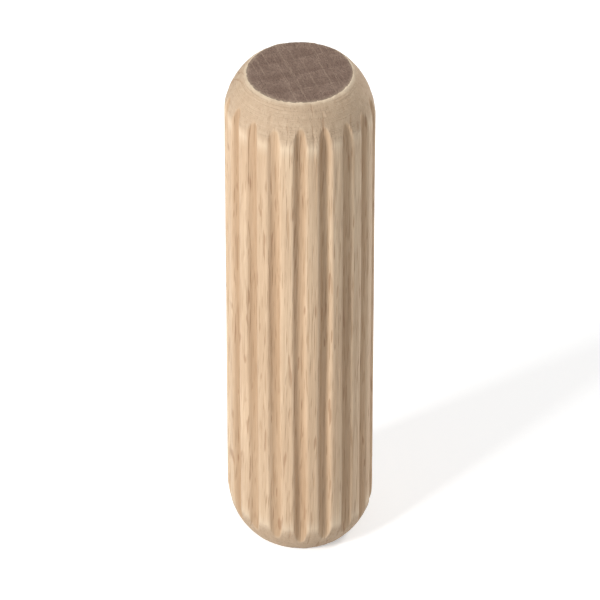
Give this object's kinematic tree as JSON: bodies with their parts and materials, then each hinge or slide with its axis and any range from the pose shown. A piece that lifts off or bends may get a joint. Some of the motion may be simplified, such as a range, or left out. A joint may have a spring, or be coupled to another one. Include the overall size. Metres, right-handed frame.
{
  "type": "dowel pin",
  "caption": "Straight round wooden dowel pin with lengthwise glue flutes all round and a rounded chamfer behind each flat end.",
  "frame": {"origin": "centre of the lower flat end face, which the pin stands on", "axes": "+Z along the pin's axis to its upper end, +X through the middle of a crest between two flutes"},
  "size_m": [0.008, 0.008, 0.03],
  "materials": {
    "beech": "bare"
  },
  "bodies": {
    "root": {"dowel_pin": "beech"}
  },
  "joints": []
}
